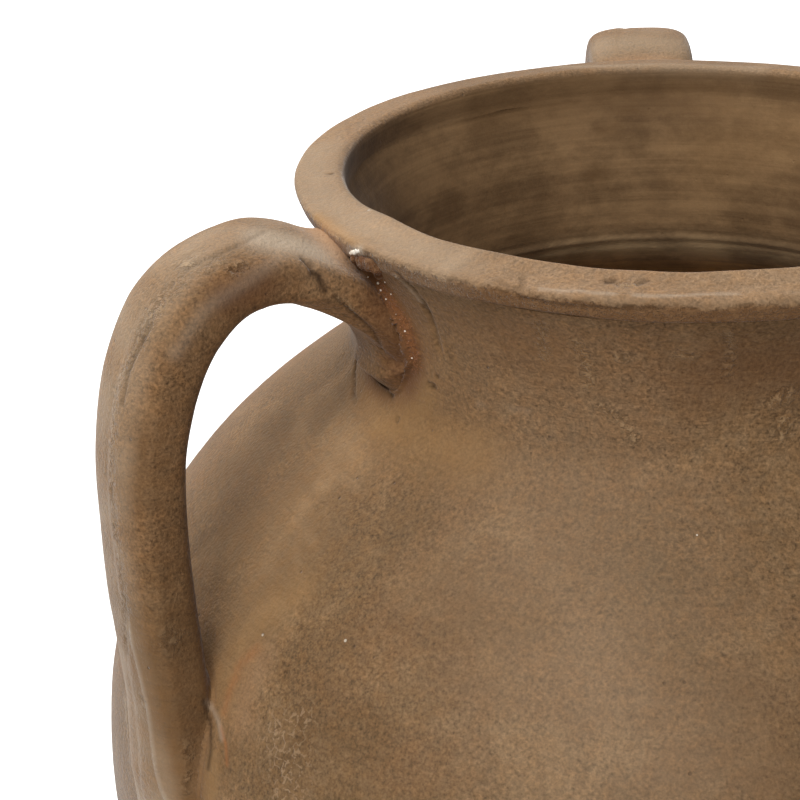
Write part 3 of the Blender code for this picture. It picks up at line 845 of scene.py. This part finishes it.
def lute(name, node, side, top, foot, half, swing, tucked, corner, score, tan):
    """A smear of clay over the wall round one end of a handle, from drop top to drop foot below the mouth."""
    azimuth = math.radians(HANDLE_AZIMUTHS[side])
    surface = handles[side][1]
    rows = round((foot - top) / PATCH_STEP)
    columns = round(2.0 * half / PATCH_STEP)
    drops = np.linspace(top, foot, rows + 1)
    sides = np.linspace(-half, half, columns + 1)
    drop, offset = (table.ravel() for table in np.meshgrid(drops, sides, indexing="ij"))
    heights = HEIGHT - drop
    radius, slope = wall_radius(heights)
    turn = azimuth + swing * swung(side, heights) + offset / radius
    lean = np.hypot(1.0, slope)
    normal = np.stack([np.cos(turn) / lean, np.sin(turn) / lean, -slope / lean], axis=1)
    ground = np.stack([np.cos(turn) * radius, np.sin(turn) * radius, heights], axis=1)
    distance = np.array([surface.find_nearest(Vector(row))[3] for row in ground])
    near = ease(offset, 0.004, 0.010)
    stand = fillet(distance, SMEAR_FILLET + corner * near * ease(drop, 0.040, 0.026))
    stand *= 1.0 - 0.85 * ease(drop, 0.132, 0.146)
    scored = np.exp(-((distance - 0.0004) / 0.0005) ** 2)
    frame_gap = np.minimum.reduce((half - np.abs(offset), drop - top + tucked, foot - drop))
    keep = ease(frame_gap, 0.0, 0.008)
    uneven = HAND_WOBBLE * ripple(ground, 90.0, azimuth) * keep
    scored *= 1.0 - ease(drop, 0.128, 0.142)
    smear = SMEAR_HEIGHT * ease(distance, 0.020, 0.004) + stand - score * scored + uneven
    face = ground + normal * (smear * keep - PATCH_SINK * (1.0 - keep))[:, None]
    back = ground - normal * (WALL / 3.0)
    across = columns + 1
    grid = np.arange((rows + 1) * across).reshape(rows + 1, across)
    quads = [(grid[i, j], grid[i + 1, j], grid[i + 1, j + 1], grid[i, j + 1])
             for i in range(rows) for j in range(columns)]
    count = len(face)
    faces = quads + [tuple(count + corner for corner in reversed(quad)) for quad in quads]
    rim = [grid[0, j] for j in range(across)] + [grid[i, -1] for i in range(1, rows + 1)]
    rim += [grid[-1, j] for j in range(across - 2, -1, -1)] + [grid[i, 0] for i in range(rows - 1, 0, -1)]
    for low, high in zip(rim, rim[1:] + rim[:1]):
        faces.append((low, high, count + high, count + low))
    mesh = bpy.data.meshes.new(name)
    faces = [tuple(int(v) for v in quad) for quad in faces]
    mesh.from_pydata(np.concatenate([face, back]).tolist(), [], faces)
    faced(mesh)
    mesh.shade_smooth()
    mesh.materials.append(luting_material)
    piece = put(name, mesh)
    slip = 0.5 * tan * ease(distance, 0.016, 0.0015) * (0.75 + 0.5 * ripple(ground, 120.0, azimuth)) * keep
    mark(piece, "smear", np.concatenate([np.clip(slip, 0.0, 1.0), np.zeros(count)]))
    crease = 0.6 * tan * ease(distance, 0.0030 + corner, 0.0006)
    mark(piece, "crease", np.concatenate([crease, np.zeros(count)]))
    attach(piece, "root")
    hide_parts(node)
    return piece


UPPER_SMEAR = dict(top=LIP_DEPTH - 0.001, foot=0.066, half=0.036, swing=0.0, tucked=0.02, corner=0.0024,
                   score=0.0003, tan=0.9)
LOWER_SMEAR = dict(top=0.092, foot=0.186, half=0.036, swing=1.0, tucked=0.0, corner=0.0, score=0.0005,
                   tan=0.4)
upper_smears = {}
lower_smears = {}
for side in HANDLE_AZIMUTHS:
    upper_smears[side] = lute("upper_smear_" + side, "upper_luting_" + side, side, **UPPER_SMEAR)
    lower_smears[side] = lute("lower_smear_" + side, "lower_luting_" + side, side, **LOWER_SMEAR)


# Hand marks are where tool and thumb touched the leather-hard clay: creases, cracks, pits and slip. With them
# go painted light and shade: painted highlights on edges, painted sheen on tops, painted shade in cracks,
# pits and on faces turned from the light, and a painted shadow of the handle on the shoulder.
# Each is a line or spot that the photograph shows, pressed into whatever piece carries it there.
EYE = Vector((-0.05234785, -0.47416093, 0.4697702))
EYE_TURN = Euler([math.radians(angle) for angle in (65.65584, 1.76573, 1.36763)])
EYE_LENS = 90.72
FILM = 36.0
PHOTO_SIZE = 800.0
PIXEL = FILM / EYE_LENS / PHOTO_SIZE
PACE = 1.6
touched = [handles["left"][0], upper_smears["left"], lower_smears["left"], lip, wall, handles["back"][0]]


def skin_of(piece):
    """A piece's surface, for rays to meet."""
    faces = [face.vertices[:] for face in piece.data.polygons]
    return BVHTree.FromPolygons([Vector(row) for row in points_of(piece)], faces)


def facing_of(piece):
    """The direction that each of a piece's points faces."""
    table = np.empty(len(piece.data.vertices) * 3)
    piece.data.vertex_normals.foreach_get("vector", table)
    return table.reshape(-1, 3)


skins = [skin_of(piece) for piece in touched]
shapes = {piece.name: points_of(piece) for piece in touched}
facings = {piece.name: facing_of(piece) for piece in touched}
marks = {piece.name: {} for piece in touched}


def traced(line):
    """Points half a millimetre apart along a line of pixels (u, v, u, v), each on the piece seen there."""
    line = np.asarray(line, dtype=float).reshape(-1, 2)
    paces = np.concatenate([[0.0], np.cumsum(np.linalg.norm(np.diff(line, axis=0), axis=1))])
    stops = np.linspace(0.0, paces[-1], max(1, round(paces[-1] / PACE)) + 1)
    found = []
    for stop in stops:
        u, v = (float(np.interp(stop, paces, line[:, axis])) for axis in (0, 1))
        ray = Vector(((u - PHOTO_SIZE / 2.0) * PIXEL, (PHOTO_SIZE / 2.0 - v) * PIXEL, -1.0))
        ray.rotate(EYE_TURN)
        hits = [skin.ray_cast(EYE, ray) for skin in skins]
        hits = [hit for hit in hits if hit[0] is not None]
        if hits:
            found.append(min(hits, key=lambda hit: hit[3])[0])
    return np.array(found)


def press(line, width, height, **tints):
    """Raise or sink the clay along a line of pixels, and colour it; width and height are in millimetres."""
    path = traced(line)
    if not len(path):
        return
    width /= 1000.0
    low, high = path.min(axis=0) - 3.0 * width, path.max(axis=0) + 3.0 * width
    for name, shape in shapes.items():
        close = np.flatnonzero(((shape > low) & (shape < high)).all(axis=1))
        if not len(close):
            continue
        gap = np.full(len(close), np.inf)
        for spot in path:
            gap = np.minimum(gap, np.linalg.norm(shape[close] - spot, axis=1))
        share = np.exp(-(gap / width) ** 2)
        shape[close] += facings[name][close] * (height / 1000.0 * share)[:, None]
        for label, strength in tints.items():
            layer = marks[name].setdefault(label, np.zeros(len(shape)))
            layer[close] = np.maximum(layer[close], strength * share)


# the strap's pulled face: a crumbly crease, a second fold, the near edge with a painted highlight, painted
# sheen on tops, painted shade on its near edge and lower near face, the cracks at its root with painted shade
# in them
for line, width, share in (
        ((243, 266, 232, 272), 1.4, 0.6), ((215, 262, 190, 272, 170, 290), 2.4, 0.35),
        ((162, 302, 149, 319, 140, 341), 2.0, 0.7), ((140, 341, 124, 372, 116, 393), 1.2, 0.6),
        ((116, 393, 113, 430, 112, 487), 1.2, 0.5),
        ((112, 487, 117, 540, 124, 590, 127, 650), 1.2, 0.45)):
    press(line, width, -0.08, crumb=share)
press((151, 324, 137, 351, 128, 372, 122, 403), 0.6, -0.5, dark=0.35)
press((233, 269, 239, 271), 0.8, -0.3, dark=0.15, crumb=0.8)
press((187, 264), 3.0, -0.2, crumb=0.7)
press((264, 232, 233, 248, 214, 257, 187, 269), 0.6, -0.3, dark=0.25)
press((290, 250, 248, 282, 213, 305, 204, 313, 176, 353), 1.9, 0.15, worn=0.13)
press((262, 238, 290, 243, 318, 251), 5.5, 0.0, rubbed=0.65, worn=0.3)
press((200, 246, 225, 237, 262, 238), 5.5, 0.0, rubbed=0.3, worn=0.06)
press((600, 46, 640, 42, 680, 46), 9.0, 0.0, rubbed=0.52)
# painted shade on the strap's near edge and on its lower near face
press((140, 440, 141, 500), 4.0, 0.0, umber=0.4)
press((172, 740, 180, 790), 4.0, 0.0, umber=0.3)
press((135, 640, 150, 700, 172, 760, 185, 795), 10.0, 0.0, calm=0.85)
press((304, 259, 311, 265, 314, 274, 319, 275, 323, 284, 325, 289, 327, 292), 0.8, -0.9, dark=0.7)
press((311, 264), 1.0, -0.8, dark=0.8)
press((334, 296, 341, 304, 351, 312, 362, 321, 372, 331, 378, 341, 382, 350), 0.6, -0.4, dark=0.55)
press((340, 299, 350, 307, 358, 315), 0.7, 0.0, crumb=0.6)
press((382, 362, 388, 364, 395, 367, 401, 372), 0.9, 0.45)
# the upper joint: slip squeezed to the lip, red clay and grit in the crease, a scored crescent with painted
# shade in it and a painted highlight along its edge, cracks and pits with painted shade in them
press((322, 232, 340, 245, 354, 256), 2.4, 0.15, peach=0.5)
press((316, 218, 330, 228, 345, 239, 358, 249), 2.0, 0.1, slip=0.75)
press((350, 252, 360, 251), 1.2, 0.05, lime=0.35)
press((359, 268), 0.5, -0.3, dark=0.9)
press((361, 262, 369, 259, 374, 262), 0.7, -0.3, dark=0.6)
press((369, 271, 382, 291, 395, 312, 406, 330, 413, 348, 415, 364, 409, 385), 3.2, 0.0, red=0.5)
press((374, 300, 388, 325, 398, 350, 400, 375), 4.5, 0.0, red=0.5)
press((388, 278, 405, 300, 420, 325, 428, 350), 4.0, 0.0, red=0.2)
press((382, 289, 392, 302, 399, 314, 406, 327, 411, 342, 415, 355), 1.1, 0.15, orange=0.28, crumb=0.75)
press((395, 276, 402, 281, 409, 288, 415, 295, 422, 304), 0.35, 0.35, worn=0.3)
press((397, 275, 411, 287, 424, 304, 432, 321, 436, 335, 439, 348), 0.7, -0.7, dark=0.45)
press((422, 305, 427, 311, 432, 321, 434, 328, 436, 335, 439, 348), 0.5, -0.5, dark=0.85)
press((376, 380, 381, 384, 386, 389, 392, 395), 0.8, -0.5, dark=0.9)
press((380, 425, 398, 432, 415, 412, 428, 395), 5.0, 0.0, slip=0.5)
press((400, 425, 430, 440, 470, 450), 9.0, 0.0, slip=0.45)
press((430, 386, 434, 387), 0.7, -1.0, dark=1.0)
press((437, 377), 0.5, -0.6, dark=0.8)
press((397, 420), 0.6, -0.8, dark=1.0)
press((356, 359, 354, 373, 354, 386, 353, 395, 355, 401), 0.7, -0.6, dark=0.6)
press((344, 353, 341, 360), 0.7, -0.4, dark=0.4)
# the lip and the mouth: tops painted paler as painted sheen, a curved tool dent, two pits with a crumb line,
# a painted highlight along the front edge, painted shade in the dent, the pits and the seam under the lip
press((560, 67, 650, 65, 760, 68), 2.6, 0.0, rubbed=0.35)
press((720, 150, 790, 130), 14.0, 0.0, slip=0.25)
press((500, 282, 509, 286, 517, 289, 524, 286, 523, 278), 0.7, -0.5, dark=0.35)
press((607, 281, 614, 280), 0.7, -0.8, dark=0.8)
press((638, 283, 647, 280), 0.6, -0.6, dark=0.7)
press((618, 284, 636, 284), 0.9, -0.2, crumb=0.5)
press((331, 173), 0.8, -0.6, dark=0.7)
press((540, 289, 561, 291, 579, 291, 595, 293, 615, 294), 0.5, 0.1, worn=0.3)
press((634, 295, 654, 296, 677, 296, 716, 294, 738, 294), 0.5, 0.1, worn=0.3)
press((520, 297, 556, 304, 591, 307, 615, 308, 663, 309), 0.5, -0.3, dark=0.5)
press((312, 150, 314, 190, 345, 215, 400, 243, 450, 262), 7.0, 0.0, rubbed=0.36)
# umber and red: painted shade on the handle's near face at its top, on the neck's right and inside under the
# back of the lip, a painted shadow of the handle on the shoulder, darker patches on the belly and low on it,
# small dark spots inside; and clay that was wiped smooth
for line, width, share in (
        ((760, 740, 790, 790), 22.0, 0.4), ((330, 745, 390, 790), 16.0, 0.25),
        ((710, 372, 795, 365), 11.0, 0.3), ((450, 600, 470, 640), 16.0, 0.3),
        ((250, 440, 240, 480, 228, 520), 8.0, 0.22), ((480, 112, 560, 99, 640, 93, 720, 93), 7.0, 0.5),
        ((620, 107, 632, 109), 2.5, 0.6), ((600, 128, 616, 130), 2.2, 0.5),
        ((590, 176, 602, 174), 2.2, 0.5), ((230, 298, 262, 285), 5.0, 0.2)):
    press(line, width, 0.0, umber=share)
# painted shade, reddened: on the handle's near face at its top and on the neck's right
for line, width, share in (
        ((230, 298, 262, 285), 5.0, 0.5), ((710, 372, 795, 365), 11.0, 0.3)):
    press(line, width, 0.0, red=share)
press((455, 320, 500, 340, 560, 360), 9.0, 0.0, band=0.4)
for line in ((235, 470, 300, 430, 350, 400), (215, 560, 260, 520, 330, 465), (222, 640, 262, 590, 300, 545)):
    press(line, 13.0, 0.0, calm=0.75)
# the neck and belly: a broad patch painted paler as a painted highlight, crumbs left by the rib, a faint
# painted highlight line, a crackled patch of wash
press((540, 540, 600, 600, 570, 680, 620, 740), 30.0, 0.0, rubbed=0.19)
press((590, 640, 610, 700), 18.0, 0.0, rubbed=0.23)
for line, width in (
        ((540, 324, 543, 344, 546, 356), 1.2), ((576, 342, 584, 354, 588, 368, 590, 386), 1.2),
        ((618, 357, 628, 358), 1.0), ((678, 355, 693, 357), 1.1), ((727, 334, 731, 350, 728, 374), 0.9),
        ((600, 406, 622, 421, 636, 441), 1.0), ((775, 402, 790, 394), 1.8), ((786, 420, 784, 436), 1.8)):
    press(line, width, 0.1, crumb=0.75, slip=0.2)
press((477, 404, 500, 407, 530, 412), 0.4, -0.2, worn=0.08)
for u, v, size in ((280, 735, 6.0), (290, 765, 7.0), (302, 720, 4.0), (288, 792, 6.0)):
    press((u, v), size, 0.0, cracked=0.9)
# the lower joint: two ridges with painted highlights, the crisp contact with painted shade along it, the pale
# smear beside it and a reddish streak
press((118, 658, 126, 698, 129, 735), 0.6, 0.4, worn=0.4)
press((129, 735, 130, 759, 141, 799), 0.6, 0.1, worn=0.2)
press((130, 624, 133, 644, 141, 676, 149, 713, 156, 767, 161, 787, 166, 799), 0.6, 0.4, worn=0.35)
press((124, 600, 127, 650), 1.8, -0.2, crumb=0.5)
press((143, 702), 1.5, -0.2, crumb=0.7)
press((172, 640), 3.0, 0.0, crumb=0.45)
press((203, 700, 211, 725, 211, 750, 208, 768), 0.7, 0.0, dark=0.6)
press((206, 702, 213, 709, 219, 722, 222, 738), 0.8, 0.15, worn=0.25)
press((221, 728, 226, 745, 227, 765), 0.5, 0.0, orange=0.5)
press((256, 650, 241, 664, 230, 690, 224, 712), 1.3, 0.0, orange=0.3)
press((262, 660, 248, 690, 242, 720), 4.0, 0.0, peach=0.25)
press((300, 590, 262, 620, 240, 650, 222, 690), 5.5, 0.0, slip=0.33)
press((214, 765, 211, 797), 2.6, 0.0, slip=0.45)
press((186, 744, 190, 756), 1.2, -0.1, crumb=0.45)
press((190, 776, 187, 790), 1.2, -0.1, crumb=0.45)
# grit and lumps are pixels with a size in millimetres
LIME_GRIT = (
    (380, 271, 0.24), (368, 277, 0.18), (378, 283, 0.32), (385, 282, 0.2), (381, 290, 0.28),
    (391, 294, 0.2), (386, 299, 0.26), (405, 331, 0.26), (412, 358, 0.22), (396, 314, 0.14),
    (409, 341, 0.14), (414, 347, 0.14), (351, 253, 0.45), (353, 252, 0.6), (355, 252, 0.7),
    (357, 251, 0.6), (359, 251, 0.4), (354, 260, 0.3), (355, 263, 0.35), (400, 319, 0.14),
    (697, 535, 0.2), (360, 347, 0.14), (160, 256, 0.2))
SLIP_LUMPS = ((355, 259, 1.1), (359, 265, 1.3), (362, 261, 1.5), (366, 262, 1.8), (371, 264, 1.9),
              (376, 268, 1.6), (380, 274, 1.2))
GRIT_LINE = ((380, 280), (386, 292), (393, 303), (400, 315), (406, 327), (411, 342), (415, 357), (414, 372))
GRIT_COUNT = 420
GRIT_SPREAD = 3.0
GRIT_SIZES = (0.08, 0.20)
GRIT_SEED = 5


def grit_spots():
    """Orange grains strewn at random along the crease beside the root."""
    draw = np.random.default_rng(GRIT_SEED)
    line = np.array(GRIT_LINE, dtype=float)
    share = draw.uniform(0.0, len(line) - 1.0, GRIT_COUNT)
    middle = np.stack([np.interp(share, np.arange(len(line)), line[:, axis]) for axis in (0, 1)], axis=1)
    middle += draw.normal(0.0, GRIT_SPREAD, middle.shape)
    return [(u, v, size) for (u, v), size in zip(middle, draw.uniform(*GRIT_SIZES, GRIT_COUNT))]


def scattered(name, spots, material, uneven, cuts=3):
    """Small lumps half sunk in the clay, each where the photograph shows one."""
    shape = bmesh.new()
    for u, v, size in spots:
        spot = traced((u, v))
        if len(spot):
            seat = Matrix.Translation(spot[0]) @ Matrix.Scale(size / 1000.0, 4)
            bmesh.ops.create_icosphere(shape, subdivisions=cuts, radius=1.0, matrix=seat)
    for vertex in shape.verts:
        vertex.co += vertex.normal * (uneven * noise.noise(vertex.co * 700.0))
    mesh = bpy.data.meshes.new(name)
    shape.to_mesh(mesh)
    shape.free()
    mesh.shade_smooth()
    mesh.materials.append(material)
    lumps = put(name, mesh)
    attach(lumps, "root")
    return lumps


lime_material = clay_material(
    "lime_grit", (srgb(246, 242, 234), srgb(238, 232, 220), srgb(226, 218, 204)),
    shares=(0.5, 0.5), mottle=0.1, fibre=0.0, specks=0.0, relief=0.0004)
scattered("lime_grit", LIME_GRIT, lime_material, 0.00003)
grit_material = clay_material(
    "orange_grit", (srgb(178, 126, 90), srgb(146, 98, 64), srgb(112, 74, 48)),
    shares=(0.7, 0.9), mottle=0.6, fibre=0.0, specks=0.0, relief=0.0004)
scattered("orange_grit", grit_spots(), grit_material, 0.00004, cuts=1)
lumps = scattered("slip_lumps", SLIP_LUMPS, luting_material, 0.0006)
for label, share in (("red", 0.7), ("crumb", 0.6)):
    mark(lumps, label, [share] * len(lumps.data.vertices))
for piece in touched:
    move(piece, shapes[piece.name])
    for label, values in marks[piece.name].items():
        layer = piece.data.attributes.get(label)
        if layer:
            had = np.empty(len(values), dtype=np.float32)
            layer.data.foreach_get("value", had)
            values = np.maximum(values, had)
        mark(piece, label, values)


# The vase stands on a plain pale floor between soft boxes: two in front, one behind it on the left.
# The floor and the room behind it show white to the camera, and the floor keeps the shadow.
FLOOR_SIZE = 6.0
FLOOR_GREY = (0.80, 0.80, 0.80, 1.0)
FLOOR_ROUGHNESS = 0.9
WHITE = (1.0, 1.0, 1.0, 1.0)
GLOW_REACH = (0.5, 2.2)
GLOW = (0.55, 1.0)
floor_mesh = bpy.data.meshes.new("studio_floor")
corners = [(x * FLOOR_SIZE, y * FLOOR_SIZE, 0.0) for x, y in ((-1, -1), (1, -1), (1, 1), (-1, 1))]
floor_mesh.from_pydata(corners, [], [(0, 1, 2, 3)])
floor = put("studio_floor", floor_mesh)
floor_material = bpy.data.materials.new("studio_floor")
floor_material.use_nodes = True
tree = floor_material.node_tree
shader = tree.nodes["Principled BSDF"]
feed(tree, shader.inputs["Base Color"], FLOOR_GREY)
feed(tree, shader.inputs["Roughness"], FLOOR_ROUGHNESS)
rays = add(tree, "ShaderNodeLightPath").outputs
seen = calc(tree, "MAXIMUM", rays["Is Camera Ray"], rays["Is Transmission Ray"])
feed(tree, shader.inputs["Emission Color"], WHITE)
away = add(tree, "ShaderNodeVectorMath", {0: object_place(tree)}, operation="LENGTH").outputs["Value"]
glow = span(tree, away, *GLOW_REACH, *GLOW)
feed(tree, shader.inputs["Emission Strength"], times(tree, seen, glow))
floor_mesh.materials.append(floor_material)

world = bpy.data.worlds.new("studio_room")
bpy.context.scene.world = world
world.use_nodes = True
tree = world.node_tree
sky = tree.nodes["Background"]
rays = add(tree, "ShaderNodeLightPath").outputs
seen = calc(tree, "MAXIMUM", calc(tree, "MAXIMUM", rays["Is Camera Ray"], rays["Is Glossy Ray"]),
            rays["Is Transmission Ray"])
ROOM_LIGHT = 0.04
feed(tree, sky.inputs["Color"], WHITE)
feed(tree, sky.inputs["Strength"], plus(tree, times(tree, seen, 1.0 - ROOM_LIGHT), ROOM_LIGHT))


SHOULDER = Vector((0.0, 0.0, HEIGHT * 0.75))


def soft_light(name, spot, size, power):
    """A square soft box aimed at the vase's shoulder."""
    lamp = bpy.data.lights.new(name, "AREA")
    lamp.size = size
    lamp.energy = power
    stand = put(name, lamp)
    aim = SHOULDER - Vector(spot)
    stand.matrix_world = Matrix.Translation(spot) @ aim.to_track_quat("-Z", "Y").to_matrix().to_4x4()


soft_light("key_softbox", (-0.63, -1.29, 1.90), size=0.8, power=26.0)
soft_light("fill_softbox", (-0.15, -1.46, 1.86), size=1.2, power=14.0)
soft_light("back_softbox", (-0.87, 1.11, 1.93), size=1.3, power=47.0)

eye = bpy.data.cameras.new("photo_camera")
eye.lens = EYE_LENS
eye.sensor_width = FILM
eye.clip_start = 0.01
camera = put("photo_camera", eye)
camera.location = EYE
camera.rotation_euler = EYE_TURN
bpy.context.scene.camera = camera
bpy.context.scene.view_settings.view_transform = "Standard"
